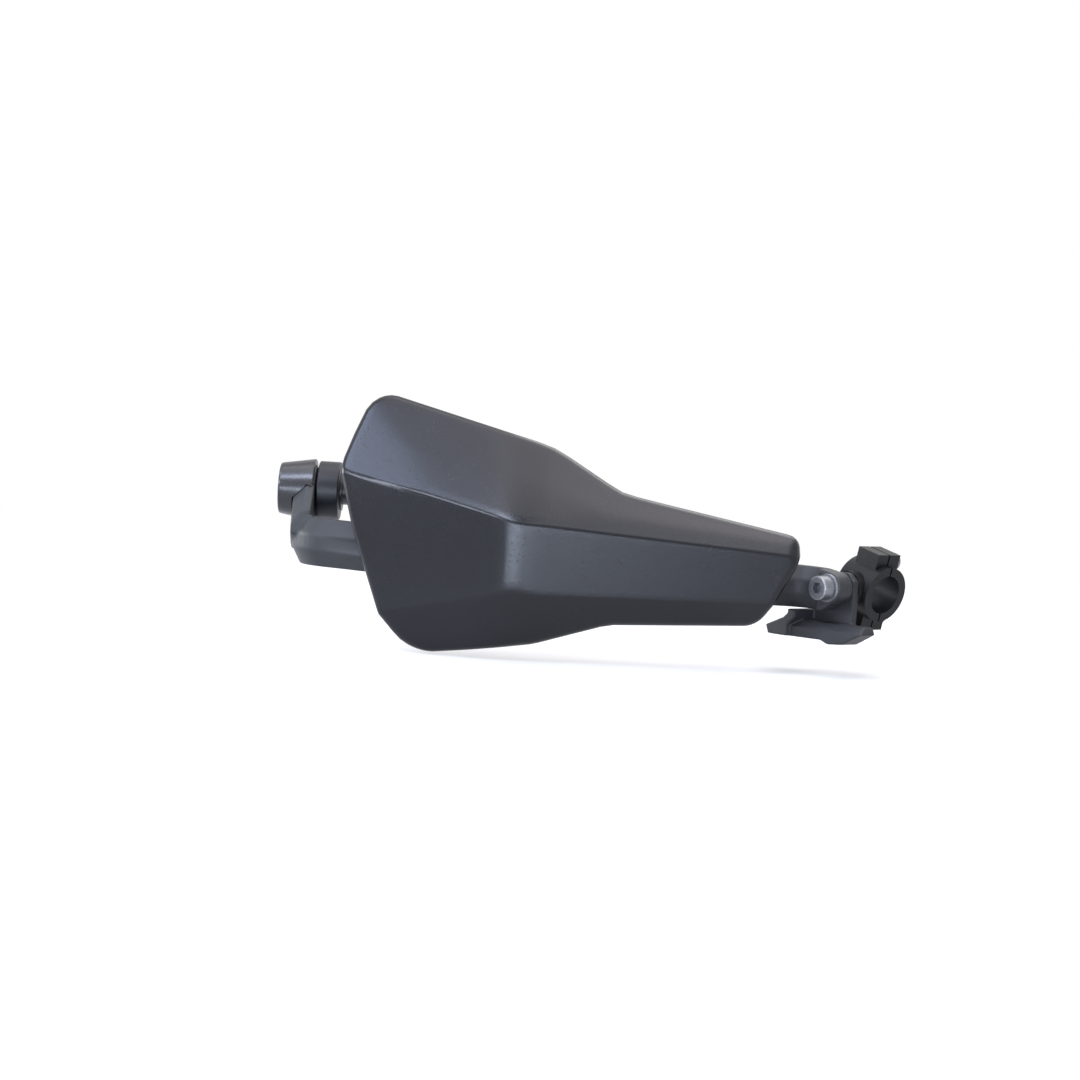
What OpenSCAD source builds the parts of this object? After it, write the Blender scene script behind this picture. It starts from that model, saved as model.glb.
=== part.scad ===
/* [Shell outline] */
// Outboard tip of the shell, inboard of the handlebar end
tip_x = -0.5; // [-3:0.1:3]
// Height of the outboard tip above the handlebar axis
tip_z = 12.3; // [9:0.1:16]
// Upper outboard corner, inboard of the handlebar end
top_x = 16.4; // [12:0.1:24]
// Height of the upper outboard corner
top_z = 61.4; // [54:0.5:68]
// Where the upper edge starts to drop
drop_x = 121.1; // [112:0.5:130]
// Height of the upper edge where it starts to drop
drop_z = 34.9; // [30:0.1:38]
// Where the drop of the upper edge ends
step_x = 160.8; // [150:0.5:172]
// Height of the upper edge after the drop
step_z = 11.5; // [8:0.1:16]
// Inboard end of the shell
end_x = 261.5; // [254:0.5:272]
// Depth of the upper inboard corner below the handlebar axis
end_z = 7; // [4:0.2:8]
// Lower inboard corner, inboard of the handlebar end
heel_x = 241.3; // [232:0.1:248]
// Depth of the lower edge at its inboard end
heel_z = 57.9; // [54:0.1:62]
// Lower outboard corner, inboard of the handlebar end
toe_x = 46.7; // [40:0.1:56]
// Depth of the lower outboard corner
toe_z = 85.6; // [80:0.5:94]

/* [Shell facets] */
// Depth of the shell's bend in front of the arm
bend_gap = 26.5; // [23:0.5:34]
// Bend of the front panel, inboard of the handlebar end
bend_x = 103.5; // [98:0.5:108]
// Depth of the upper crease at the bend
crease_z = 7; // [5:0.5:9]
// Depth of the lower crease at the bend
chin_z = 46.5; // [43:0.5:50]
// Angle that the outboard front panel sweeps back
sweep_out = 24.9; // [23:0.1:26]
// Angle that the inboard front panel sweeps back
sweep_in = 9; // [8:0.1:11]
// Angle that the upper facets lean back
lean_top = 38.7; // [36:0.1:42]
// Angle that the brow facets above the upper crease lean back
lean_brow = 31; // [28:0.1:34]
// Height of the brow facets at the bend
brow_h = 12; // [9:0.5:15]
// Softness of the front panel's bend
bend_soft = 6; // [3:0.2:8]
// Wall of the moulding
shell_wall = 3.2; // [2.6:0.1:4]
// Rounding of the rim's outer edge
rim_r = 2.4; // [1.6:0.1:2.4]
// Rounding of the upper outboard corner
corner_top = 12; // [8:0.5:16]
// Rounding of the outboard tip
corner_tip = 13; // [6:0.5:16]
// Rounding of the lower outboard corner
corner_toe = 12.5; // [8:0.5:18]

/* [Arm] */
// Thickness of the arm
arm_t = 11.4; // [10:0.1:13]
// Height of the machined seats over the arm's cast faces
pad = 0.4; // [0.2:0.1:0.8]
// Height of the arm's section at the bar end
arm_h = 28; // [25:0.2:30]
// Height of the arm's section at the inner mount
tab_h = 24.2; // [21:0.1:26]
// Depth of the arm's centre below the handlebar axis, outboard
arm_z = 28; // [26:0.1:29.5]
// Reach of the arm in front of the handlebar axis
arm_reach = 76; // [70:0.5:78]
// Depth of the groove along the arm's front
groove = 1.5; // [0.8:0.1:2]
// Radius of the arm's eye at the bar end
eye_r = 13.8; // [12:0.1:14.5]
// Thickness of the arm's eye
eye_t = 12.6; // [11:0.1:15]
// Radius of the arm's end round the inner screw
tab_r = 8.9; // [8.6:0.1:10]

/* [Bar end] */
// Outer radius of the handlebar
bar_r = 11.1; // [11:0.05:11.2]
// Inner radius of the handlebar
bar_bore_r = 8; // [7.6:0.1:8.4]
// Radius of the drum beside the grip
drum_r = 17.1; // [15:0.1:18]
// Length of the drum with its hub
drum_len = 13.8; // [13:0.1:20]
// Larger radius of the outer cap
cap_r = 18.1; // [16:0.1:19]
// Smaller radius of the outer cap
cap_nose_r = 15; // [13:0.1:16]
// Length of the outer cap
cap_len = 20.6; // [20:0.1:25]
// Length of the sleeve inside the handlebar
sleeve_len = 30; // [24:0.5:40]
// Thickness of the sleeve's collar
collar_t = 1.2; // [1:0.1:3]

/* [Inner mount] */
// Angle of the inner screw to the riding direction
mount_turn = 50; // [48:0.5:52]
// Angle that the handlebar drops outboard of the mount
bar_drop = 14; // [10:0.5:18]
// Thickness of the bracket's plates
plate_t = 4; // [3:0.1:5]
// Depth of the bracket's web
web_d = 20; // [16:0.5:24]
// Thickness of the bracket's web
web_t = 5.6; // [4:0.1:7]
// Distance from the web to the inner screw
web_gap = 20; // [17:0.5:23]
// Length of the bracket's wing, outboard of its web
wing = 16.8; // [12:0.5:20]
// Depth of the bracket's foot below the inner screw
foot_z = 29.8; // [27:0.2:33]
// Length of the foot, inboard of the inner screw
foot_x = 23.6; // [20:0.2:30]
// Depth of thread for the arm screw in the clamp
thread_d = 8.4; // [7:0.1:11]
// Width of the clamp along the handlebar
clamp_w = 24; // [20:0.5:28]
// Wall of the clamp round the handlebar
clamp_wall = 5; // [4:0.1:7]
// Gap between the clamp halves
clamp_gap = 1.2; // [0.8:0.1:2]

/* [Fasteners] */
// Nominal diameter of the bar end and arm screws
m_big = 8; // [7:0.5:9]
// Nominal diameter of the clamp screws
m_clamp = 6; // [5:0.5:6.5]
// Nominal diameter of the shell screws
m_shell = 5; // [4:0.5:6]
// Length of the brass inserts
insert_len = 5; // [4:0.1:6]
// Thickness of the rubber grommets
grommet_t = 2.5; // [2:0.1:3.2]
// Clearance of a screw in its hole
fit = 0.25; // [0.15:0.05:0.4]
// Clearance of pieces that fit without play
snug = 0.04; // [0.02:0.01:0.08]

/* [Hidden] */
$fn = 48;

// Faces of the shell: x, z and y of a point on it, slope along x, slope along z
bend_y = arm_reach + bend_gap;
fall_out = 0.232;
fall_in = 0.068;
up_top = tan(lean_top);
up_brow = tan(lean_brow);
face_out = [bend_x, -crease_z, -bend_y, -tan(sweep_out), 0.02];
face_in = [bend_x, -crease_z, -bend_y, tan(sweep_in), 0];
brow_out = [bend_x, -crease_z, -bend_y, -tan(sweep_out) + fall_out * (up_brow - 0.02), up_brow];
brow_in = [bend_x, -crease_z, -bend_y, tan(sweep_in) + fall_in * up_brow, up_brow];
top_y = -bend_y + brow_h * up_brow;
top_out = [bend_x, -crease_z + brow_h, top_y,
           brow_out[3] + (up_top - up_brow) * (81 * fall_out - brow_h) / 81, up_top];
top_in = [bend_x, -crease_z + brow_h, top_y, brow_in[3] + (up_top - up_brow) * (brow_h + 4) / 153, up_top];
tip_at = [bend_x - 56, -crease_z + 29];
tip_y = top_y + top_out[3] * (tip_at[0] - top_out[0]) + up_top * (tip_at[1] - top_out[1]);
tip_face = [tip_at[0], tip_at[1], tip_y, top_out[3] - 0.055, up_top - 0.055];
chin_out = [bend_x, -chin_z, -bend_y, -0.81 * tan(sweep_out), -0.35];
chin_in = [bend_x, -chin_z, -bend_y, 1.04 * tan(sweep_in), -0.6];
end_face = [end_x - 4.5, -crease_z - 8, -bend_y + tan(sweep_in) * (end_x - 4.5 - bend_x), 1.1, 0.5];

function mix(a, b, w) = a + (b - a) * w;
function soft(a, b, k) = let (h = max(k - abs(a - b), 0) / k) max(a, b) + h * h * k / 4;
function on(f, x, z, t) = f[2] + f[3] * (x - f[0]) + f[4] * (z - f[1])
    + t * sqrt(1 + f[3] * f[3] + f[4] * f[4]);
// Depth of the shell's skin at x and z, or of a skin t behind it
function skin(x, z, t) = let (
    upper = soft(soft(on(top_out, x, z, t), on(top_in, x, z, t), 9), on(tip_face, x, z, t), 0.35),
    top = soft(upper, soft(on(brow_out, x, z, t), on(brow_in, x, z, t), 7), 0.25),
    front = soft(on(face_out, x, z, t), on(face_in, x, z, t), bend_soft),
    chin = soft(on(chin_out, x, z, t), on(chin_in, x, z, t), 8),
    flare = max(0, 1 - (x - tip_x) / 24))
    soft(soft(soft(top, front, 0.9 + 3 * flare * flare), chin, 0.8), on(end_face, x, z, t), 2.5);

// Shell edges inset by the rim: z over x along each of the five rails
upper_edge = [[top_x, top_z], [drop_x - 8, mix(top_z, drop_z, (drop_x - 8 - top_x) / (drop_x - top_x))],
         [drop_x, drop_z - 0.6], [drop_x + 7, mix(drop_z, step_z, 7 / (step_x - drop_x))],
         [step_x - 6, mix(step_z, drop_z, 6 / (step_x - drop_x))], [step_x, step_z + 0.6],
         [step_x + 10, mix(step_z, -end_z, 10 / (end_x - step_x))], [end_x, -end_z]];
lower_edge = [[toe_x, -toe_z], [116.3, -toe_z + 10.8], [156.9, -heel_z - 3.7], [heel_x, -heel_z]];
crease_z0 = tip_z + 4.1;
mid_z0 = -crease_z - 10.9;
chin_z0 = -chin_z - 16.9;
// Outboard edge above and below the tip: x at height z
function edge_up(z) = mix(tip_x, top_x, (z - tip_z) / (top_z - tip_z));
function edge_down(z) = mix(tip_x, mix(tip_x, toe_x, 0.62), (tip_z - z) / (tip_z - chin_z0));
crease_x0 = edge_up(crease_z0) + 1.1 * rim_r;
mid_x0 = edge_down(mid_z0) + 1.1 * rim_r;
chin_x0 = edge_down(chin_z0) + 1.1 * rim_r;
end_in = end_x - rim_r;
chin_x1 = mix(end_x, heel_x, 0.66) - 1.1 * rim_r;
right_z = -crease_z - (end_in - bend_x) * fall_in;

// Column positions: 0 at the outboard edge, 1 at the bend, 2 at the inboard edge
cols = [0, 0.035, 0.08, 0.13, 0.2, 0.29, 0.38, 0.48, 0.58, 0.68, 0.78, 0.87, 0.93, 0.962, 0.985,
        1, 1.009, 1.022, 1.045, 1.08, 1.115, 1.17, 1.24, 1.31, 1.365, 1.42, 1.5, 1.58, 1.66,
        1.74, 1.82, 1.89, 1.935, 1.965, 1.985, 2];
function along(c, x0, x1, x2) = c <= 1 ? mix(x0, x1, c) : mix(x1, x2, c - 1);
// Points of column c where it crosses the five rails
function rail_top(c) = let (x = along(c, top_x + 1.1 * rim_r, bend_x, end_in))
    [x, lookup(x, upper_edge) - 1.05 * rim_r];
function rail_crease(c) = [along(c, crease_x0, bend_x, end_in + 0.6),
    along(c, crease_z0, -crease_z, right_z)];
function rail_mid(c) = [along(c, mid_x0, bend_x, end_in - 1),
    along(c, mid_z0, -crease_z - 13, -crease_z - 15.4)];
function rail_chin(c) = [along(c, chin_x0, bend_x, chin_x1), along(c, chin_z0, -chin_z, -chin_z + 1.2)];
function rail_low(c) = let (x = along(c, toe_x + 1.1 * rim_r, bend_x, heel_x - 1.1 * rim_r))
    [x, lookup(x, lower_edge) + 1.02 * rim_r];
// Shares of the way between two rails, closer together beside a crease
function near(d, p, q, most) = min(d / norm(q - p), most);
function column(c) = let (
    a = rail_top(c), b = rail_crease(c), m = rail_mid(c), e = rail_chin(c), f = rail_low(c)) [
    for (w = [0, 0.1, 0.24, 0.4, 0.58, 1 - near(4.5, a, b, 0.3), 1 - near(1.3, a, b, 0.15),
              1 - near(0.55, a, b, 0.07)]) mix(a, b, w),
    for (w = [0, near(0.55, b, m, 0.05), near(1.3, b, m, 0.13), near(4.5, b, m, 0.4)]) mix(b, m, w),
    for (w = [0, 0.4, 0.7, 1 - near(3.5, m, e, 0.2), 1 - near(1.1, m, e, 0.1), 1 - near(0.45, m, e, 0.05)])
        mix(m, e, w),
    for (w = [0, near(0.45, e, f, 0.05), near(1.1, e, f, 0.12), near(3.5, e, f, 0.3), 0.48, 0.72, 0.9, 1])
        mix(e, f, w)];

// Rounds one corner of the grid: tangent length t along both sides
function rounded(p, c, u, v, t) = let (
    d = p - c,
    k = u[0] * v[1] - u[1] * v[0],
    a = (d[0] * v[1] - d[1] * v[0]) / k,
    b = (u[0] * d[1] - u[1] * d[0]) / k)
    (a >= t || b >= t) ? p : let (q = 1 - a / t, r = 1 - b / t)
    c + u * t * (1 - q * sqrt(1 - r * r / 2)) + v * t * (1 - r * sqrt(1 - q * q / 2));
function unit(v) = v / norm(v);

// Draws the outboard edge out into the rounded tip, less and less away from it
function edge_straight(z) = z > crease_z0 ? edge_up(z) : (z > mid_z0
    ? mix(edge_down(mid_z0), edge_up(crease_z0), (z - mid_z0) / (crease_z0 - mid_z0)) : edge_down(z));
function drawn(p) = let (e = edge_straight(p[1]), w = max(0, 1 - max(0, p[0] - e) / 45))
    [p[0] + w * w * (soft(edge_up(p[1]), edge_down(p[1]), corner_tip) - e), p[1]];
raw = [for (c = cols) [for (p = column(c)) p[1] > chin_z0 ? drawn(p) : p]];
nc = len(raw);
nr = len(raw[0]);
last = nc - 1;
foot = nr - 1;
corners = [
    [raw[0][0], unit(raw[5][0] - raw[0][0]), unit(raw[0][5] - raw[0][0]), corner_top],
    [raw[last][0], unit(raw[last - 3][0] - raw[last][0]), unit(raw[last][7] - raw[last][0]), 4],
    [raw[0][foot], unit(raw[4][foot] - raw[0][foot]), unit(raw[0][foot - 5] - raw[0][foot]), corner_toe],
    [raw[last][foot], unit(raw[last - 4][foot] - raw[last][foot]),
     unit(raw[last][foot - 4] - raw[last][foot]), 5.5]];
function all_corners(p, i = 0) = i == 4 ? p
    : all_corners(rounded(p, corners[i][0], corners[i][1], corners[i][2], corners[i][3]), i + 1);
flat = [for (col = raw) [for (p = col) all_corners(p)]];

// The grid's border, clockwise seen from the front, and its outward directions
border = [for (i = [0:last]) [i, 0], for (j = [1:foot]) [last, j],
          for (i = [last - 1:-1:0]) [i, foot], for (j = [foot - 1:-1:1]) [0, j]];
nb = len(border);
edge = [for (b = border) flat[b[0]][b[1]]];
out = [for (k = [0:nb - 1]) let (d = unit(edge[(k + 1) % nb] - edge[(k + nb - 1) % nb])) [-d[1], d[0]]];
// Rim: how far out each ring lies, its depth behind the skin, and which skin
rings = [[0.5, 0.134, 0], [0.86, 0.49, 0], [1, 1, 0], [1, -0.25, 1], [0.78, 0, 1]];

function at(p, y) = [p[0], y, p[1]];
module skin_solid() {
    front = [for (col = flat, p = col) at(p, skin(p[0], p[1], 0))];
    back = [for (col = flat, p = col) at(p, skin(p[0], p[1], shell_wall))];
    rim = [for (r = rings, k = [0:nb - 1]) let (p = edge[k] + out[k] * r[0] * rim_r)
           at(p, skin(p[0], p[1], r[2] * shell_wall) + r[1] * rim_r)];
    n = nc * nr;
    function f(i, j) = i * nr + j;
    loops = [[for (b = border) f(b[0], b[1])],
             for (r = [0:len(rings) - 1]) [for (k = [0:nb - 1]) 2 * n + r * nb + k],
             [for (b = border) n + f(b[0], b[1])]];
    polyhedron(concat(front, back, rim), concat(
        [for (i = [0:last - 1], j = [0:foot - 1]) [f(i, j), f(i + 1, j), f(i + 1, j + 1)]],
        [for (i = [0:last - 1], j = [0:foot - 1]) [f(i, j), f(i + 1, j + 1), f(i, j + 1)]],
        [for (i = [0:last - 1], j = [0:foot - 1]) [n + f(i + 1, j + 1), n + f(i + 1, j), n + f(i, j)]],
        [for (i = [0:last - 1], j = [0:foot - 1]) [n + f(i, j + 1), n + f(i + 1, j + 1), n + f(i, j)]],
        [for (l = [0:len(loops) - 2], k = [0:nb - 1]) let (m = (k + 1) % nb)
            [loops[l + 1][k], loops[l + 1][m], loops[l][m]]],
        [for (l = [0:len(loops) - 2], k = [0:nb - 1]) let (m = (k + 1) % nb)
            [loops[l + 1][k], loops[l][m], loops[l][k]]]), convexity = 6);
}

// Bar end stack along x, from the handlebar's end face outboard
drum_x = -collar_t - drum_len;
lug_x = drum_x - eye_t;
cap_gap = 1.2;
cap_x = drum_x - cap_gap - cap_len;
head_seat = lug_x - 3.5;
washer_t = 1.2;
hub_r = 10.5;
hub_len = 0.8;
notch_gap = 0.7;

// Inner mount: the arm screw's seat on the arm, then backwards along its axis
seat = [280.2, -60, -34.8];
bar_back = arm_t + plate_t + thread_d + bar_r;
module at_mount() {
    translate(seat) rotate([0, 0, -mount_turn]) children();
}
tab_dir = [cos(mount_turn), -sin(mount_turn)];
tab_back = [sin(mount_turn), cos(mount_turn)];
tab_low = 1.5;
tab_in = 8;
tab = [seat[0], seat[1]] + tab_back * arm_t / 2 - tab_dir * tab_in;

// The arm's centre line in plan: corner, radius of its bend
arm_corner = arm_reach - 42;
way = [[[lug_x + arm_t / 2 + 0.6, -0.18 * arm_corner], 0],
       [[lug_x + arm_t / 2 + 2.1, -arm_corner], 0.7 * arm_corner],
       [[bend_x - 7.5, -arm_reach], 0.92 * arm_reach],
       [[bend_x + 78.5, -arm_reach + 6], 0.92 * arm_reach],
       [tab - (24 - tab_in) * tab_dir, 15], [tab, 0]];
function heading(i) = atan2(way[i + 1][0][1] - way[i][0][1], way[i + 1][0][0] - way[i][0][0]);
function turn(i) = let (d = heading(i) - heading(i - 1)) d > 180 ? d - 360 : (d < -180 ? d + 360 : d);
function dir(a) = [cos(a), sin(a)];
function side(a) = [-sin(a), cos(a)];
function bend_points(i) = let (r = way[i][1], t = turn(i), a = heading(i - 1), s = sign(t),
    start = way[i][0] - dir(a) * r * tan(abs(t) / 2), m = ceil(abs(t) / 9))
    [for (k = [0:m]) [start + (side(a) - side(a + t * k / m)) * s * r, a + t * k / m]];
bends = [[[way[0][0], heading(0)]], for (i = [1:len(way) - 2]) bend_points(i),
         [[way[len(way) - 1][0], heading(len(way) - 2)]]];
spine = [for (i = [0:len(bends) - 1]) let (b = bends[i], p = b[len(b) - 1]) each concat(b,
    i == len(bends) - 1 ? [] : let (q = bends[i + 1][0], m = ceil(norm(q[0] - p[0]) / 12))
        m < 2 ? [] : [for (k = [1:m - 1]) [mix(p[0], q[0], k / m), p[1]]])];
arm_x0 = way[0][0][0];
function arm_share(x) = max(0, min(1, (x - arm_x0) / (tab[0] - arm_x0)));
function arm_mid(x) = mix(-arm_z, seat[2] - tab_low, arm_share(x));
function arm_high(x) = mix(arm_h, tab_h, arm_share(x));
// Section: distance in front of the centre line and height, groove in front
function arm_ring(p) = let (x = p[0][0], h = arm_high(x) / 2, n = arm_t / 2 - pad, v = -side(p[1]),
    cut = groove * max(0, min(1, (x - 1) / 8, (225 - x) / 20)),
    sec = [[-n + 1.5, h], [n - 5, h], [n, 0.32 * h], [n - cut, 0.2 * h], [n - cut, -0.2 * h],
           [n, -0.32 * h], [n - 5, -h], [-n + 1.5, -h], [-n, 1.5 - h], [-n, h - 1.5]])
    [for (s = sec) [p[0][0] + v[0] * s[0], p[0][1] + v[1] * s[0], arm_mid(x) + s[1]]];
module arm_bar() {
    ring = [for (p = spine) arm_ring(p)];
    m = len(ring[0]);
    k = len(ring);
    function f(r, i) = r * m + i % m;
    ends = [for (p = [spine[0], spine[k - 1]]) [p[0][0], p[0][1], arm_mid(p[0][0])]];
    polyhedron([for (r = ring) each r, each ends], concat(
        [for (i = [0:m - 1]) [k * m, f(0, i), f(0, i + 1)]],
        [for (i = [0:m - 1]) [k * m + 1, f(k - 1, i + 1), f(k - 1, i)]],
        [for (r = [0:k - 2], i = [0:m - 1]) [f(r, i), f(r + 1, i + 1), f(r, i + 1)]],
        [for (r = [0:k - 2], i = [0:m - 1]) [f(r, i), f(r + 1, i), f(r + 1, i + 1)]]), convexity = 6);
}

// The three shell fixings: x on the arm, its centre line point and heading there
fix_x = [46, 112, 166];
function spine_at(x, i = 1) = (spine[i][0][0] >= x && spine[i - 1][0][0] < x) ?
    let (w = (x - spine[i - 1][0][0]) / (spine[i][0][0] - spine[i - 1][0][0]))
        [mix(spine[i - 1][0], spine[i][0], w), mix(spine[i - 1][1], spine[i][1], w)]
    : spine_at(x, i + 1);
function inner_gap(p, v, z, d = 10, n = 0) = n == 8 ? d
    : inner_gap(p, v, z, (skin(p[0] + v[0] * d, z, shell_wall) - p[1]) / v[1], n + 1);
// Local frame of a fixing: +z points from the arm's centre line to the shell
module at_fix(i) {
    p = spine_at(fix_x[i]);
    translate([p[0][0], p[0][1], arm_mid(fix_x[i])]) rotate([0, 0, p[1]]) rotate([90, 0, 0]) children();
}
function fix_gap(i) = let (p = spine_at(fix_x[i])) inner_gap(p[0], -side(p[1]), arm_mid(fix_x[i]));
insert_r = m_shell / 2 + 0.9;
boss_r = insert_r + 3;
boss_z = arm_t / 2 + grommet_t;

module ring_of(r, hole, h) {
    difference() {
        cylinder(r = r, h = h);
        translate([0, 0, -1]) cylinder(r = hole, h = h + 2);
    }
}
// Hexagon socket screw: seat of its head at z = 0, head upwards, shank down
module socket_screw(d, head_r, head_h, length, key) {
    difference() {
        rotate_extrude() polygon([[0, -length], [d / 2 - 0.6, -length], [d / 2, 0.6 - length], [d / 2, 0],
            [head_r, 0], [head_r, head_h - 0.7], [head_r - 0.7, head_h], [0, head_h]]);
        translate([0, 0, head_h - 0.55 * head_h]) cylinder(d = key / cos(30), h = head_h, $fn = 6);
    }
}

module shell() {
    color([0.21, 0.22, 0.26]) difference() {
        union() {
            skin_solid();
            for (i = [0:2]) at_fix(i) translate([0, 0, boss_z])
                cylinder(r = boss_r, h = fix_gap(i) - boss_z + shell_wall / 2);
        }
        for (i = [0:2]) at_fix(i) translate([0, 0, boss_z - 1])
            cylinder(r = insert_r + snug, h = insert_len + 1.5);
    }
}
// Side view of the eye and its neck, grown by g
module lug_side(g) {
    circle(r = eye_r + g);
    polygon([[-0.71 * eye_r - 0.7 * g, 0.71 * eye_r + 0.7 * g], [-31 - g, 1.42 * eye_r - 31 + g],
             [-31 - g, -arm_z + 3 - g], [-8 - g, -arm_z - 7 - g], [0.51 * eye_r + g, -0.86 * eye_r - g]]);
}
module along_x() {
    rotate([90, 0, 90]) children();
}
// The arm's eye with its outer edge taken off and its outer side drafted, grown by g
module lug_solid(g) {
    difference() {
        translate([lug_x - g, 0, 0]) along_x() linear_extrude(eye_t + g) lug_side(g);
        translate([lug_x - g, -eye_r, -60]) linear_extrude(120)
            polygon([[-1, 0], [0, 0], [2.2, -31], [-1, -31]]);
        translate([lug_x, -0.71 * eye_r, 0.71 * eye_r]) rotate([45, 0, 0]) rotate([90, 0, 0])
            linear_extrude(90, center = true) polygon([[7.4, g], [7.4, 12], [-7.4, 12], [-7.4, g - 12.6]]);
    }
}
// Side view of the arm's inner end: the bar's height, narrowing round the screw
module tab_side() {
    circle(r = tab_r);
    polygon([[-tab_in - 0.5, tab_h / 2 - tab_low - 0.3], [-tab_in, tab_h / 2 - tab_low - 0.3],
        [0.25 * tab_r, 0.968 * tab_r], [0.25 * tab_r, -0.968 * tab_r],
        [-tab_in + 3, -tab_h / 2 - tab_low + 0.3], [-tab_in - 0.5, -tab_h / 2 - tab_low + 0.3]]);
}
module arm() {
    color([0.24, 0.25, 0.27]) difference() {
        union() {
            arm_bar();
            lug_solid(0);
            at_mount() translate([0, arm_t, 0]) rotate([90, 0, 0]) linear_extrude(arm_t) tab_side();
            for (i = [0:2]) at_fix(i) translate([0, 0, -arm_t / 2]) cylinder(r = boss_r, h = arm_t);
        }
        translate([lug_x - 1, 0, 0]) along_x() cylinder(r = m_big / 2 + fit, h = eye_t + 2);
        at_mount() translate([0, -1, 0]) rotate([-90, 0, 0]) cylinder(r = m_big / 2 + fit, h = arm_t + 2);
        for (i = [0:2]) at_fix(i) translate([0, 0, -arm_t]) cylinder(r = m_shell / 2 + fit, h = 2 * arm_t);
    }
}
module bar_end_cap() {
    color([0.3, 0.3, 0.32]) difference() {
        translate([cap_x, 0, 0]) along_x() rotate_extrude() polygon([
            [m_big / 2 + fit, 0], [cap_nose_r - 1.2, 0], [cap_nose_r - 0.35, 0.35], [cap_nose_r, 1.2],
            [cap_r, cap_len - 0.6], [cap_r - 0.6, cap_len], [m_big / 2 + fit, cap_len]]);
        translate([cap_x - 1, 0, 0]) along_x() cylinder(r = m_big + 0.4, h = head_seat - cap_x + 1);
        lug_solid(notch_gap);
        translate([lug_x + eye_t - 1, 0, 0]) along_x() linear_extrude(20) lug_side(notch_gap);
    }
}
module bar_end_washer() {
    color("silver") translate([head_seat - washer_t, 0, 0]) along_x()
        ring_of(m_big, m_big / 2 + fit, washer_t);
}
module bar_end_screw() {
    tip = sleeve_len + 12;
    color("silver") translate([head_seat - washer_t, 0, 0]) rotate([0, -90, 0])
        socket_screw(m_big, m_big * 0.84, 4.2, tip - head_seat + washer_t, m_big * 0.75);
}
module bar_end_spacer() {
    color([0.3, 0.3, 0.32]) translate([drum_x, 0, 0]) along_x() rotate_extrude()
        polygon([[m_big / 2 + fit, 0], [hub_r, 0], [hub_r, hub_len], [drum_r - 0.6, hub_len],
            [drum_r, hub_len + 0.6], [drum_r, drum_len - 0.8],
            [drum_r - 0.8, drum_len], [m_big / 2 + fit, drum_len]]);
}
cone_wide = bar_bore_r - 0.6;
cone_thin = m_big / 2 + 1.4;
cone_len = 9;
module expander_sleeve() {
    color([0.35, 0.36, 0.38]) difference() {
        translate([-collar_t, 0, 0]) along_x() rotate_extrude() polygon([[m_big / 2 + fit, 0], [bar_r, 0],
            [bar_r, collar_t], [bar_bore_r - 0.3, collar_t], [bar_bore_r - 0.3, collar_t + sleeve_len],
            [cone_wide - 0.6, collar_t + sleeve_len], [m_big / 2 + 0.9, collar_t + sleeve_len - cone_len],
            [m_big / 2 + fit, collar_t + sleeve_len - cone_len]]);
        for (a = [45, 135]) rotate([a, 0, 0]) translate([8, -bar_r, -0.8])
            cube([sleeve_len, 2 * bar_r, 1.6]);
    }
}
module expander_cone() {
    color("silver") along_x() rotate_extrude() polygon([[m_big / 2 + snug, sleeve_len - cone_len + 2],
        [m_big / 2 + 0.9, sleeve_len - cone_len + 2], [cone_wide - 0.7, sleeve_len],
        [cone_wide, sleeve_len + 1], [cone_wide, sleeve_len + 9], [cone_wide - 1, sleeve_len + 10],
        [m_big / 2 + snug, sleeve_len + 10]]);
}

arm_washer_t = 1.6;
module arm_screw() {
    color("silver") at_mount() translate([0, -arm_washer_t, 0]) rotate([90, 0, 0])
        socket_screw(m_big, 0.85 * m_big, 0.975 * m_big, arm_washer_t + bracket_y + thread_d - 1,
                     0.75 * m_big);
}
module arm_washer() {
    color("silver") at_mount() rotate([90, 0, 0]) ring_of(m_big, m_big / 2 + fit, arm_washer_t);
}
// Bracket: seat plate behind the arm, a web with a wing under the arm, and a foot
web_x = -web_gap - web_t;
web_top = -tab_h / 2 - tab_low - 0.4;
bracket_y = arm_t + plate_t;
module depth_of(d) {
    translate([0, bracket_y, 0]) rotate([90, 0, 0]) linear_extrude(d) children();
}
module mount_bracket() {
    color([0.2, 0.2, 0.22]) at_mount() difference() {
        union() {
            depth_of(plate_t) polygon([[-tab_r, tab_r], [0.5 * tab_r, tab_r], [tab_r, 0.5 * tab_r],
                [tab_r, -0.7 * foot_z], [tab_r, -foot_z + 1], [web_x, -foot_z + 1], [web_x, web_top],
                [-1.6 * tab_r, -tab_r]]);
            depth_of(web_d) polygon([[web_x, web_top], [web_x + web_t, web_top],
                [web_x + web_t - 0.3, -0.63 * foot_z], [web_x + 0.2, -0.785 * foot_z], [web_x + 0.2, -foot_z],
                [web_x - 0.88 * wing, -foot_z], [web_x - wing, -0.83 * foot_z],
                [web_x - 0.19 * wing, -0.64 * foot_z], [web_x, -0.54 * foot_z]]);
            intersection() {
                depth_of(web_d + 10) polygon([[web_x, -foot_z], [-4.1, -foot_z], [0.8, -foot_z - 2],
                    [0.45 * foot_x, -foot_z - 1.2], [foot_x, -0.81 * foot_z], [foot_x - 2, -0.67 * foot_z],
                    [web_x, -0.67 * foot_z]]);
                translate([web_x - wing, bracket_y - web_d, 0]) rotate([0, 0, 7]) rotate([90, 0, 90])
                    linear_extrude(2 * wing + 2 * foot_x + web_gap) polygon([
                        [0, -foot_z - 4], [0, -0.8 * foot_z], [5, -0.67 * foot_z],
                        [web_d + 6, -0.67 * foot_z], [web_d + 6, -foot_z - 4]]);
            }
        }
        translate([0, -1, 0]) rotate([-90, 0, 0]) cylinder(r = m_big / 2 + fit, h = bracket_y + 3);
    }
}
clamp_r = bar_r + clamp_wall;
ear_z = bar_r + m_clamp / 2 + 2.2;
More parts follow.
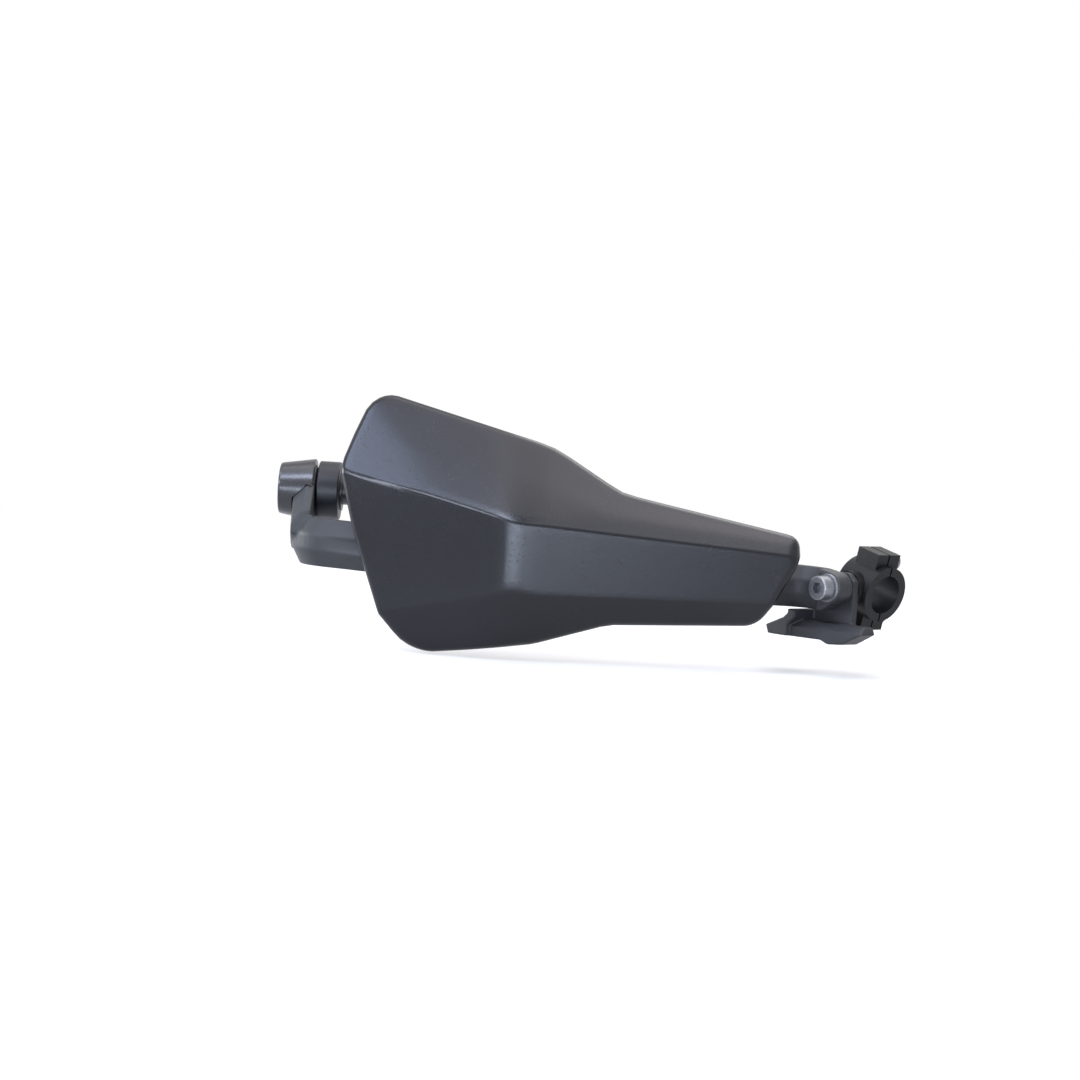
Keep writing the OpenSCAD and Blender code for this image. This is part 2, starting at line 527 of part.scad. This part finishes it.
ear_h = ear_z + m_clamp / 2 + 3.2;
module clamp_block(y0, y1) {
    intersection() {
        union() {
            translate([0, bar_back, 0]) rotate([0, 90, 0])
                cylinder(r = clamp_r, h = clamp_w, center = true);
            translate([-clamp_w / 2 + 4, bar_back - 9, -ear_h]) cube([clamp_w - 8, 18, 2 * ear_h]);
            translate([0, bracket_y, 0]) rotate([-90, 0, 0]) cylinder(r = tab_r + 0.9, h = thread_d + 6);
        }
        translate([-clamp_w, y0, -2 * ear_h]) cube([2 * clamp_w, y1 - y0, 4 * ear_h]);
    }
}
module at_clamp() {
    at_mount() rotate([0, bar_drop, 0]) children();
}
module clamp_front() {
    color([0.17, 0.17, 0.19]) at_clamp() difference() {
        clamp_block(arm_t + plate_t, bar_back - clamp_gap / 2);
        translate([-clamp_w, bar_back, 0]) rotate([0, 90, 0]) cylinder(r = bar_r, h = 2 * clamp_w);
        translate([0, arm_t, 0]) rotate([-90, 0, 0])
            cylinder(r = m_big / 2 + snug, h = plate_t + thread_d + 4);
        for (s = [-1, 1]) translate([0, bar_back - 9 + 1.5, s * ear_z]) rotate([-90, 0, 0])
            cylinder(r = m_clamp / 2 + snug, h = 12);
    }
}
module clamp_rear() {
    color([0.17, 0.17, 0.19]) at_clamp() difference() {
        clamp_block(bar_back + clamp_gap / 2, bar_back + 40);
        translate([-clamp_w, bar_back, 0]) rotate([0, 90, 0]) cylinder(r = bar_r, h = 2 * clamp_w);
        for (s = [-1, 1]) translate([0, bar_back - 1, s * ear_z]) rotate([-90, 0, 0])
            cylinder(r = m_clamp / 2 + fit, h = 40);
        for (s = [-1, 1]) translate([0, bar_back + 9, s * ear_z]) rotate([-90, 0, 0])
            cylinder(r = m_clamp, h = 20);
    }
}
module clamp_screw(s) {
    color("silver") at_clamp() translate([0, bar_back + 9, s * ear_z]) rotate([-90, 0, 0])
        socket_screw(m_clamp, 0.83 * m_clamp, m_clamp, 15, 0.83 * m_clamp);
}
module clamp_screw_upper() { clamp_screw(1); }
module clamp_screw_lower() { clamp_screw(-1); }

module shell_insert(i) {
    color("gold") at_fix(i) translate([0, 0, boss_z]) ring_of(insert_r, m_shell / 2 + snug, insert_len);
}
module shell_grommet(i) {
    color([0.1, 0.1, 0.1]) at_fix(i) translate([0, 0, arm_t / 2])
        ring_of(boss_r, m_shell / 2 + fit, grommet_t);
}
module shell_washer(i) {
    color("silver") at_fix(i) translate([0, 0, -arm_t / 2 - 1]) ring_of(m_shell, m_shell / 2 + fit, 1);
}
module shell_screw(i) {
    color("silver") at_fix(i) translate([0, 0, -arm_t / 2 - 1]) rotate([180, 0, 0])
        socket_screw(m_shell, 0.95 * m_shell, 0.56 * m_shell, arm_t + 1 + grommet_t + insert_len - 0.5,
                     0.6 * m_shell);
}

shell();
arm();
bar_end_cap();
bar_end_washer();
bar_end_screw();
bar_end_spacer();
expander_sleeve();
expander_cone();
arm_screw();
arm_washer();
mount_bracket();
clamp_front();
clamp_rear();
clamp_screw_upper();
clamp_screw_lower();
shell_insert(0);  // shell_insert_1
shell_insert(1);  // shell_insert_2
shell_insert(2);  // shell_insert_3
shell_grommet(0);  // shell_grommet_1
shell_grommet(1);  // shell_grommet_2
shell_grommet(2);  // shell_grommet_3
shell_washer(0);  // shell_washer_1
shell_washer(1);  // shell_washer_2
shell_washer(2);  // shell_washer_3
shell_screw(0);  // shell_screw_1
shell_screw(1);  // shell_screw_2
shell_screw(2);  // shell_screw_3
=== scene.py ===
"""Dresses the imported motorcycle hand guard: moulded shell, cast arm, bar end and inner mount."""

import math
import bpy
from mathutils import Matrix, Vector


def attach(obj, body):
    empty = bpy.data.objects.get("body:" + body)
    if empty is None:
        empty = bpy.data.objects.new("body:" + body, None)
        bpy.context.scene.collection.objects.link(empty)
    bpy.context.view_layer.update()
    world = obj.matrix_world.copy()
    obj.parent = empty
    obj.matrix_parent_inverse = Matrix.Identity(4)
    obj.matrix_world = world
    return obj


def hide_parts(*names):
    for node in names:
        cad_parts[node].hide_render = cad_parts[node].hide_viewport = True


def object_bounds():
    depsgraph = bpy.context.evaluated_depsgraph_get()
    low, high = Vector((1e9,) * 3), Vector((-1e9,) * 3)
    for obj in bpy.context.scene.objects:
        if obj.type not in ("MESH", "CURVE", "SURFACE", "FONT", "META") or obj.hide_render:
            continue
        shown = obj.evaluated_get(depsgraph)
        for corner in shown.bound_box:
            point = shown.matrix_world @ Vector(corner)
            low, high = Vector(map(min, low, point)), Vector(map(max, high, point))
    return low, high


bl_info = {
    "name": "Motorcycle hand guard",
    "version": (1, 0, 0),
    "blender": (4, 5, 0),
    "location": "View3D > Sidebar > Hand guard",
    "description": "Builds the finished hand guard round its packed solids",
    "category": "Object",
}

import bpy
from mathutils import Matrix, Vector

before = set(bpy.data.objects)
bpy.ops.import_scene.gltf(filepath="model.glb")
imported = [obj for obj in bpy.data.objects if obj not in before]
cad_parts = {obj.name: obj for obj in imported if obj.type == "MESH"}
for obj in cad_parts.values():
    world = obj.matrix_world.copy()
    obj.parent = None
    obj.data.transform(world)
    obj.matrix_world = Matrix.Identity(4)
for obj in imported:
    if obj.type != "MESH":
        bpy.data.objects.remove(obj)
CAD_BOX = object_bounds()

# The point that the lamps face, and their distance from it
MIDDLE = Vector((0.12, -0.07, -0.01))
LAMP_REACH = 2.2

# The floor's radius, and its middle along the handlebar
FLOOR_RADIUS = 6.0
FLOOR_MIDDLE = 0.1

WHITE = (1.0, 1.0, 1.0)

# The camera: its place, its two turns in degrees, its focal length and picture in pixels
CAMERA_PLACE = Vector((0.1171, -1.3482, 0.0495))
CAMERA_TILT = 3.0
CAMERA_ROLL = 3.6
FOCAL_PIXELS = 2300.0
PICTURE_PIXELS = 1080.0
SENSOR_WIDTH = 36.0

# Points closer than this gap become one
MERGE_GAP = 0.000002

# Faces within the first angle are one flat, and edges sharper than the second are rounded, in degrees
FLAT_ANGLE = 0.3
EDGE_ANGLE = 30.0

# Size of the fine rings on turned metal
RING_PITCH = 0.0003


# Sizes and colours that a user would change


class ShellSettings(bpy.types.PropertyGroup):
    colour: bpy.props.FloatVectorProperty(
        name="Plastic colour", description="Colour of the moulded shell", subtype="COLOR",
        size=3, min=0.0, max=1.0, default=(0.0048, 0.0055, 0.0085))
    grain: bpy.props.FloatProperty(
        name="Grain size", description="Size of the moulded grain", subtype="DISTANCE",
        unit="LENGTH", default=0.0005, min=0.0001, max=0.003)
    roughness: bpy.props.FloatProperty(
        name="Roughness", description="Roughness of the moulded plastic", subtype="FACTOR",
        default=0.25, min=0.05, max=1.0)


class MetalSettings(bpy.types.PropertyGroup):
    arm_colour: bpy.props.FloatVectorProperty(
        name="Arm coat", description="Colour of the coat on the cast arm", subtype="COLOR",
        size=3, min=0.0, max=1.0, default=(0.045, 0.0465, 0.048))
    turned_colour: bpy.props.FloatVectorProperty(
        name="Bar end coat", description="Colour of the coat on the cap and the drum", subtype="COLOR",
        size=3, min=0.0, max=1.0, default=(0.009, 0.0095, 0.013))
    bracket_colour: bpy.props.FloatVectorProperty(
        name="Bracket coat", description="Colour of the coat on the bracket and the clamp", subtype="COLOR",
        size=3, min=0.0, max=1.0, default=(0.036, 0.037, 0.0395))
    edge: bpy.props.FloatProperty(
        name="Edge rounding", description="Rounding of the metal pieces' edges", subtype="DISTANCE",
        unit="LENGTH", default=0.0004, min=0.0001, max=0.001)


class StageSettings(bpy.types.PropertyGroup):
    floor_drop: bpy.props.FloatProperty(
        name="Floor gap", description="Gap between the guard's lowest point and the floor",
        subtype="DISTANCE", unit="LENGTH", default=0.0015, min=0.0, max=0.2)
    front: bpy.props.FloatProperty(
        name="Front light",
        description="Brightness of the two windows in front of the guard, 1 is white paper",
        default=20.8, min=0.0, max=40.0)
    high: bpy.props.FloatProperty(
        name="High light",
        description="Brightness of the window that draws the cap's highlight, 1 is white paper",
        default=18.0, min=0.0, max=40.0)
    crease: bpy.props.FloatProperty(
        name="Crease light",
        description="Brightness of the window that draws the shell's crease, 1 is white paper",
        default=19.0, min=0.0, max=40.0)
    overhead: bpy.props.FloatProperty(
        name="Overhead light",
        description="Brightness of the large light overhead, which two others follow, 1 is white paper",
        default=2.25, min=0.0, max=30.0)
    outboard: bpy.props.FloatProperty(
        name="Outboard light",
        description="Brightness of the light high on the outboard side, 1 is white paper",
        default=9.0, min=0.0, max=30.0)
    edge: bpy.props.FloatProperty(
        name="Edge light", description="Brightness of the low light on the outboard side, 1 is white paper",
        default=10.5, min=0.0, max=30.0)
    back: bpy.props.FloatProperty(
        name="Back light", description="Brightness of the light behind the guard, 1 is white paper",
        default=4.0, min=0.0, max=30.0)
    room: bpy.props.FloatProperty(
        name="Room", description="Brightness that the room casts on matt surfaces, 1 is white paper",
        default=0.2, min=0.0, max=1.0)


# Shader maths


def pick(sockets, key):
    """A socket by its identifier, its name or its number."""
    return next((s for s in sockets if s.identifier == key), None) or sockets[key]


class Sock:
    """A node socket that takes part in plain expressions."""

    def __init__(self, maker, socket):
        self.maker = maker
        self.socket = socket

    def _math(self, operation, *values):
        return self.maker.add("ShaderNodeMath", {"operation": operation}, dict(enumerate(values)))

    def __add__(self, other):
        return self._math("ADD", self, other)

    __radd__ = __add__

    def __sub__(self, other):
        return self._math("SUBTRACT", self, other)

    def __rsub__(self, other):
        return self._math("SUBTRACT", other, self)

    def __mul__(self, other):
        return self._math("MULTIPLY", self, other)

    __rmul__ = __mul__

    def clipped(self, low, high):
        """0 below low and 1 above high, smooth between."""
        return self.maker.add("ShaderNodeMapRange", {"interpolation_type": "SMOOTHSTEP"},
                              {"Value": self, "From Min": low, "From Max": high})


class Nodes:
    """A node tree that new nodes are added to."""

    def __init__(self, tree):
        self.tree = tree

    def add(self, kind, settings, values, output=0):
        """Adds one node: its settings first, then the values or links of its sockets."""
        node = self.tree.nodes.new(kind)
        for key, value in settings.items():
            setattr(node, key, value)
        for key, value in values.items():
            self.fill(pick(node.inputs, key), value)
        return Sock(self, pick(node.outputs, output)) if node.outputs else None

    def fill(self, socket, value):
        """Links or sets one socket."""
        if isinstance(value, Sock):
            self.tree.links.new(value.socket, socket)
        elif isinstance(value, tuple) and socket.type == "RGBA":
            socket.default_value = (*value, 1.0)
        else:
            socket.default_value = value


class Finish(Nodes):
    """A material and its nodes."""

    def __init__(self, name):
        self.material = bpy.data.materials.new(name)
        self.material.use_nodes = True
        super().__init__(self.material.node_tree)
        self.shader = next(n for n in self.tree.nodes if n.type == "BSDF_PRINCIPLED")
        self.output = next(n for n in self.tree.nodes if n.type == "OUTPUT_MATERIAL")
        self.place = self.add("ShaderNodeTexCoord", {}, {}, "Object")

    def noise(self, size, detail=3.0, rough=0.55, place=None):
        """Noise whose lumps are about size metres across."""
        return self.add("ShaderNodeTexNoise", {"noise_dimensions": "3D"}, {
            "Vector": place or self.place, "Scale": 1.0 / size, "Detail": detail, "Roughness": rough})

    def cells(self, size):
        """Rounded cells about size metres across: 0 in their middles."""
        return self.add("ShaderNodeTexVoronoi", {"feature": "F1"},
                        {"Vector": self.place, "Scale": 1.0 / size})

    def mix(self, factor, first, second):
        """Mixes two colours by a number."""
        return self.add("ShaderNodeMix", {"data_type": "RGBA"},
                        {"Factor_Float": factor, "A_Color": first, "B_Color": second}, "Result_Color")

    def along(self, axis):
        """One of the place's three numbers."""
        return self.add("ShaderNodeSeparateXYZ", {}, {"Vector": self.place}, axis)

    def bump(self, height, strength, distance, under=None):
        """Raises the surface by a height; under is a bump below it."""
        values = {"Height": height, "Strength": strength, "Distance": distance}
        if under is not None:
            values["Normal"] = under
        return self.add("ShaderNodeBump", {}, values)

    def set(self, **values):
        """Sets the shader's sockets by name, with _ for a space."""
        for key, value in values.items():
            self.fill(self.shader.inputs[key.replace("_", " ")], value)


def tint(colour, factor):
    """A colour, lighter or darker by a factor."""
    return tuple(min(1.0, c * factor) for c in colour)


def moulded_plastic():
    """Fine grained, satin, dark blue-grey plastic with a slightly uneven surface."""
    settings = bpy.context.scene.hand_guard_shell
    base = tuple(settings.colour)
    f = Finish("moulded_plastic")
    grain = f.noise(settings.grain, 2.0, 0.6)
    pits = f.cells(settings.grain * 1.6)
    flow = f.noise(0.03, 3.0)
    colour = f.mix(flow.clipped(0.35, 0.65), tint(base, 0.95), tint(base, 1.06))
    patch = f.noise(0.0016, 3.0, 0.65)
    f.set(Base_Color=colour,
          Roughness=settings.roughness + 0.05 * (grain - 0.5) + 0.05 * (flow - 0.5) + 0.12 * (patch - 0.5),
          Normal=f.bump(grain + 0.6 * pits, 0.45, 0.00006, f.bump(patch, 0.3, 0.00008)),
          IOR=1.49, Specular_IOR_Level=0.36)
    return f.material


def coated_casting(name, base, roughness, lump):
    """Powder coat over a casting: fine orange peel, a few scuffs."""
    f = Finish(name)
    peel = f.noise(lump, 2.0, 0.5)
    cloud = f.noise(0.02, 3.0)
    scuff = f.noise(0.0035, 5.0, 0.7).clipped(0.66, 0.78)
    colour = f.mix(cloud.clipped(0.35, 0.65), tint(base, 0.92), tint(base, 1.08))
    colour = f.mix(scuff * 0.25, colour, tint(base, 2.2))
    f.set(Base_Color=colour, Roughness=roughness + 0.08 * (cloud - 0.5) + 0.1 * scuff,
          Normal=f.bump(peel, 0.3, 0.00008), Specular_IOR_Level=0.2)
    return f.material


def turned_metal(name, base, roughness, axis="X", metallic=0.0, gloss=0.5):
    """Turned metal, bare or under a thin coat: fine rings round its axis."""
    f = Finish(name)
    run = f.add("ShaderNodeCombineXYZ", {}, {"X": f.along(axis)})
    rings = f.noise(RING_PITCH, 1.0, 0.5, run)
    cloud = f.noise(0.008, 3.0)
    colour = f.mix(cloud.clipped(0.35, 0.65), tint(base, 0.93), tint(base, 1.07))
    f.set(Base_Color=colour, Metallic=metallic, Specular_IOR_Level=gloss,
          Roughness=roughness + 0.08 * (rings - 0.5) + 0.06 * (cloud - 0.5),
          Normal=f.bump(rings, 0.12, 0.00002, f.bump(f.noise(0.0004, 2.0), 0.1, 0.00003)))
    return f.material


def screw_steel(name, base, roughness):
    """Blackened or plated screw steel with handling marks."""
    f = Finish(name)
    mark = f.noise(0.0012, 4.0, 0.65)
    colour = f.mix(mark.clipped(0.55, 0.7), base, tint(base, 1.7))
    f.set(Base_Color=colour, Metallic=0.9, Roughness=roughness + 0.15 * (mark - 0.5),
          Normal=f.bump(f.noise(0.0003, 2.0), 0.15, 0.00002))
    return f.material


def rubber():
    """Soft black rubber."""
    f = Finish("grommet_rubber")
    colour = f.mix(f.noise(0.003), (0.012, 0.012, 0.012), (0.022, 0.022, 0.022))
    f.set(Base_Color=colour, Roughness=0.75, Normal=f.bump(f.noise(0.0004), 0.25, 0.00005))
    return f.material


# Pieces


def alone(piece):
    """Selects one object and makes it active."""
    bpy.ops.object.select_all(action="DESELECT")
    piece.select_set(True)
    bpy.context.view_layer.objects.active = piece


def finished(piece, label, kind, **settings):
    """Adds one modifier to the active piece and applies it."""
    modifier = piece.modifiers.new(label, kind)
    for key, value in settings.items():
        setattr(modifier, key, value)
    bpy.ops.object.modifier_apply(modifier=label)


def dressed(node, name, material, edge=0.0, smooth=35.0, merge_flat=True, cast=0.0, fettle=4):
    """A copy of a CAD node with rounded or cast-soft edges, smooth shading and its own material."""
    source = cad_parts[node]
    piece = source.copy()
    piece.data = source.data.copy()
    piece.name = name
    piece.data.name = name
    piece.parent = None
    bpy.context.collection.objects.link(piece)
    alone(piece)
    piece.matrix_world = Matrix.Identity(4)
    bpy.ops.object.mode_set(mode="EDIT")
    bpy.ops.mesh.select_all(action="SELECT")
    bpy.ops.mesh.remove_doubles(threshold=MERGE_GAP)
    if merge_flat:
        bpy.ops.mesh.dissolve_limited(angle_limit=math.radians(FLAT_ANGLE))
    bpy.ops.object.mode_set(mode="OBJECT")
    if edge:
        finished(piece, "edges", "BEVEL", width=edge, segments=2, limit_method="ANGLE",
                 angle_limit=math.radians(EDGE_ANGLE), use_clamp_overlap=True)
    if cast:
        finished(piece, "casting", "REMESH", mode="VOXEL", voxel_size=cast)
        finished(piece, "fettling", "SMOOTH", factor=0.5, iterations=fettle)
    bpy.ops.object.shade_smooth_by_angle(angle=math.radians(smooth))
    if not cast:
        finished(piece, "facets", "WEIGHTED_NORMAL", keep_sharp=True)
    piece.data.materials.clear()
    piece.data.materials.append(material)
    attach(piece, "root")
    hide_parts(node)


class HANDGUARD_OT_shell(bpy.types.Operator):
    """Moulded shell with its grain"""

    bl_idname = "hand_guard.shell"
    bl_label = "Shell"

    def execute(self, context):
        dressed("shell", "shell_moulding", moulded_plastic(), smooth=48.0, merge_flat=False)
        return {"FINISHED"}


class HANDGUARD_OT_arm(bpy.types.Operator):
    """Cast arm in its powder coat"""

    bl_idname = "hand_guard.arm"
    bl_label = "Arm"

    def execute(self, context):
        metal = context.scene.hand_guard_metal
        coat = coated_casting("arm_coat", tuple(metal.arm_colour), 0.44, 0.0009)
        dressed("arm", "arm_casting", coat, smooth=60.0, cast=0.0007, fettle=14)
        return {"FINISHED"}


class HANDGUARD_OT_bar_end(bpy.types.Operator):
    """Turned cap, drum, sleeve and cone of the bar end"""

    bl_idname = "hand_guard.bar_end"
    bl_label = "Bar end"

    def execute(self, context):
        metal = context.scene.hand_guard_metal
        black = tuple(metal.turned_colour)
        fine = metal.edge * 0.6
        cap = turned_metal("cap_coat", black, 0.27, gloss=0.55)
        dressed("bar_end_cap", "bar_end_cap_turned", cap, metal.edge)
        drum = turned_metal("drum_coat", black, 0.4, gloss=0.3)
        dressed("bar_end_spacer", "bar_end_drum", drum, metal.edge)
        sleeve = turned_metal("sleeve_anodised", (0.02, 0.021, 0.025), 0.36)
        dressed("expander_sleeve", "expander_split_sleeve", sleeve, fine)
        cone = screw_steel("cone_steel", (0.5, 0.5, 0.51), 0.35)
        dressed("expander_cone", "expander_cone_nut", cone, fine)
        return {"FINISHED"}


class HANDGUARD_OT_mount(bpy.types.Operator):
    """Bracket and clamp at the arm's inner end"""

    bl_idname = "hand_guard.mount"
    bl_label = "Inner mount"

    def execute(self, context):
        metal = context.scene.hand_guard_metal
        coat = coated_casting("bracket_coat", tuple(metal.bracket_colour), 0.45, 0.0007)
        dressed("mount_bracket", "mount_bracket_cast", coat, smooth=60.0, cast=0.0006)
        dark = coated_casting("clamp_coat", tint(tuple(metal.bracket_colour), 0.2), 0.45, 0.0007)
        for half in ("front", "rear"):
            dressed(f"clamp_{half}", f"clamp_{half}_half", dark, metal.edge * 1.5)
        return {"FINISHED"}


class HANDGUARD_OT_fasteners(bpy.types.Operator):
    """Screws, washers, inserts and grommets"""

    bl_idname = "hand_guard.fasteners"
    bl_label = "Fasteners"

    def execute(self, context):
        metal = context.scene.hand_guard_metal
        black = screw_steel("blackened_steel", (0.2, 0.206, 0.222), 0.44)
        plated = screw_steel("plated_steel", (0.52, 0.52, 0.53), 0.3)
        brass = turned_metal("insert_brass", (0.62, 0.44, 0.17), 0.3, "Y", 1.0)
        soft = rubber()
        fine = metal.edge * 0.5
        for node in ("arm_screw", "arm_washer", "bar_end_screw", "clamp_screw_upper", "clamp_screw_lower"):
            dressed(node, node + "_steel", black, fine)
        dressed("bar_end_washer", "bar_end_washer_steel", plated, fine)
        for i in (1, 2, 3):
            dressed(f"shell_screw_{i}", f"shell_screw_{i}_steel", plated, fine)
            dressed(f"shell_washer_{i}", f"shell_washer_{i}_steel", plated, fine)
            dressed(f"shell_insert_{i}", f"shell_insert_{i}_brass", brass, fine)
            dressed(f"shell_grommet_{i}", f"shell_grommet_{i}_rubber", soft, metal.edge)
        return {"FINISHED"}


def window(name, azimuth, elevation, width, height, brightness, colour):
    """A soft rectangular light that faces the guard from an azimuth right of the front and an elevation."""
    data = bpy.data.lights.new(name, "AREA")
    data.shape = "RECTANGLE"
    data.size = width
    data.size_y = height
    data.energy = brightness * math.pi * width * height
    data.color = colour
    lamp = bpy.data.objects.new(name, data)
    bpy.context.collection.objects.link(lamp)
    a, e = math.radians(azimuth), math.radians(elevation)
    way = Vector((math.sin(a) * math.cos(e), -math.cos(a) * math.cos(e), math.sin(e)))
    lamp.location = MIDDLE + way * LAMP_REACH
    lamp.rotation_euler = (-way).to_track_quat("-Z", "Y").to_euler()


def backdrop_rays(nodes):
    """1 for the rays that show the white backdrop: from the camera, mirrored, or through glass."""
    camera, glossy, through = (nodes.add("ShaderNodeLightPath", {}, {}, key)
                               for key in ("Is Camera Ray", "Is Glossy Ray", "Is Transmission Ray"))
    mirrored = nodes.add("ShaderNodeMath", {"operation": "MAXIMUM"}, {0: glossy, 1: through})
    return nodes.add("ShaderNodeMath", {"operation": "MAXIMUM"}, {0: camera, 1: mirrored})


def lay_floor(stage):
    """A pale disc that fades to pure white away from the guard, and is dim grey to scattered light."""
    low = CAD_BOX[0][2] - stage.floor_drop
    bpy.ops.object.select_all(action="DESELECT")
    bpy.ops.mesh.primitive_circle_add(vertices=64, radius=FLOOR_RADIUS, fill_type="NGON",
                                      location=(FLOOR_MIDDLE, 0.0, low))
    floor = bpy.context.active_object
    floor.name = "studio_floor"
    bpy.ops.object.transform_apply(location=True, rotation=True, scale=True)
    f = Finish("studio_floor")
    x = f.along("X") - FLOOR_MIDDLE
    y = f.along("Y")
    far = (x * x + y * y).clipped(0.1, 1.6)
    f.set(Base_Color=(0.62, 0.62, 0.62), Roughness=0.9, Specular_IOR_Level=0.1,
          Emission_Color=WHITE, Emission_Strength=0.38)
    plain = f.add("ShaderNodeEmission", {}, {"Color": WHITE})
    seen = f.add("ShaderNodeMixShader", {}, {0: far, 1: Sock(f, f.shader.outputs[0]), 2: plain})
    dim = f.add("ShaderNodeBsdfDiffuse", {}, {"Color": (0.3, 0.3, 0.3)})
    surface = f.add("ShaderNodeMixShader", {}, {0: backdrop_rays(f), 1: dim, 2: seen})
    f.fill(f.output.inputs["Surface"], surface)
    floor.data.materials.append(f.material)


def hang_lamps(stage):
    """The soft lamps, most of them placed for the facets that mirror them to the camera."""
    window("front", -16.5, -3.0, 1.25, 0.55, stage.front, (0.85, 0.97, 1.2))
    window("front_inboard", 10.8, -3.0, 0.84, 0.55, stage.front * 0.62, (0.85, 0.97, 1.2))
    window("high", -34.0, 50.0, 0.65, 0.5, stage.high, (0.85, 0.95, 1.2))
    window("crease", -54.0, 21.0, 0.65, 0.45, stage.crease, (0.88, 0.96, 1.16))
    window("overhead", 90.0, 86.8, 1.9, 2.3, stage.overhead, (1.02, 0.97, 1.04))
    window("brow", 28.0, 50.0, 1.2, 0.35, stage.overhead * 1.5, (0.93, 0.98, 1.1))
    window("inboard", 68.0, 60.0, 0.9, 0.6, stage.overhead * 1.1, (1.05, 0.96, 1.02))
    window("outboard", -78.0, 52.5, 0.75, 0.4, stage.outboard, (0.78, 0.93, 1.3))
    window("edge", -105.0, 5.0, 1.2, 0.9, stage.edge, (0.97, 1.0, 1.06))
    window("back", 150.0, 52.0, 1.2, 0.9, stage.back, (1.0, 1.0, 1.02))


def paint_room(stage):
    """A white room to look at, and a dim one for matt surfaces."""
    world = bpy.data.worlds.new("studio")
    bpy.context.scene.world = world
    world.use_nodes = True
    world.node_tree.nodes.clear()
    w = Nodes(world.node_tree)
    paper = w.add("ShaderNodeBackground", {}, {"Color": WHITE, "Strength": 1.0})
    room = w.add("ShaderNodeBackground", {}, {"Color": WHITE, "Strength": stage.room})
    surface = w.add("ShaderNodeMixShader", {}, {0: backdrop_rays(w), 1: room, 2: paper})
    w.add("ShaderNodeOutputWorld", {}, {"Surface": surface})


def place_camera(scene):
    """The photograph's viewpoint."""
    tilt, roll = math.radians(CAMERA_TILT), math.radians(CAMERA_ROLL)
    right = Vector((1.0, 0.0, 0.0))
    up = Vector((0.0, math.sin(tilt), math.cos(tilt)))
    back = Vector((0.0, -math.cos(tilt), math.sin(tilt)))
    turned_right = math.cos(roll) * right + math.sin(roll) * up
    turned_up = -math.sin(roll) * right + math.cos(roll) * up
    turn = Matrix((turned_right, turned_up, back)).transposed().to_4x4()
    data = bpy.data.cameras.new("camera")
    data.sensor_width = SENSOR_WIDTH
    data.lens = SENSOR_WIDTH * FOCAL_PIXELS / PICTURE_PIXELS
    data.clip_end = 50.0
    camera = bpy.data.objects.new("camera", data)
    bpy.context.collection.objects.link(camera)
    camera.matrix_world = Matrix.Translation(CAMERA_PLACE) @ turn
    scene.camera = camera
    scene.view_settings.view_transform = "Standard"


class HANDGUARD_OT_stage(bpy.types.Operator):
    """Floor, backdrop, lights and camera"""

    bl_idname = "hand_guard.stage"
    bl_label = "Stage"

    def execute(self, context):
        stage = context.scene.hand_guard_stage
        lay_floor(stage)
        hang_lamps(stage)
        paint_room(stage)
        place_camera(context.scene)
        return {"FINISHED"}


class HANDGUARD_PT_panel(bpy.types.Panel):
    """The hand guard's pieces and their settings"""

    bl_idname = "HANDGUARD_PT_panel"
    bl_label = "Hand guard"
    bl_space_type = "VIEW_3D"
    bl_region_type = "UI"
    bl_category = "Hand guard"

    def draw(self, context):
        layout = self.layout
        for operator in OPERATORS:
            layout.operator(operator.bl_idname)
        scene = context.scene
        for group in (scene.hand_guard_shell, scene.hand_guard_metal, scene.hand_guard_stage):
            box = layout.box()
            for key in group.__annotations__:
                box.prop(group, key)


OPERATORS = (HANDGUARD_OT_shell, HANDGUARD_OT_arm, HANDGUARD_OT_bar_end, HANDGUARD_OT_mount,
             HANDGUARD_OT_fasteners, HANDGUARD_OT_stage)
CLASSES = (ShellSettings, MetalSettings, StageSettings) + OPERATORS + (HANDGUARD_PT_panel,)


def register():
    for cls in CLASSES:
        bpy.utils.register_class(cls)
    bpy.types.Scene.hand_guard_shell = bpy.props.PointerProperty(type=ShellSettings)
    bpy.types.Scene.hand_guard_metal = bpy.props.PointerProperty(type=MetalSettings)
    bpy.types.Scene.hand_guard_stage = bpy.props.PointerProperty(type=StageSettings)


def unregister():
    for key in ("hand_guard_shell", "hand_guard_metal", "hand_guard_stage"):
        delattr(bpy.types.Scene, key)
    for cls in reversed(CLASSES):
        bpy.utils.unregister_class(cls)


def main():
    register()
    bpy.ops.hand_guard.shell()
    bpy.ops.hand_guard.arm()
    bpy.ops.hand_guard.bar_end()
    bpy.ops.hand_guard.mount()
    bpy.ops.hand_guard.fasteners()
    bpy.ops.hand_guard.stage()


if __name__ == "__main__":
    main()
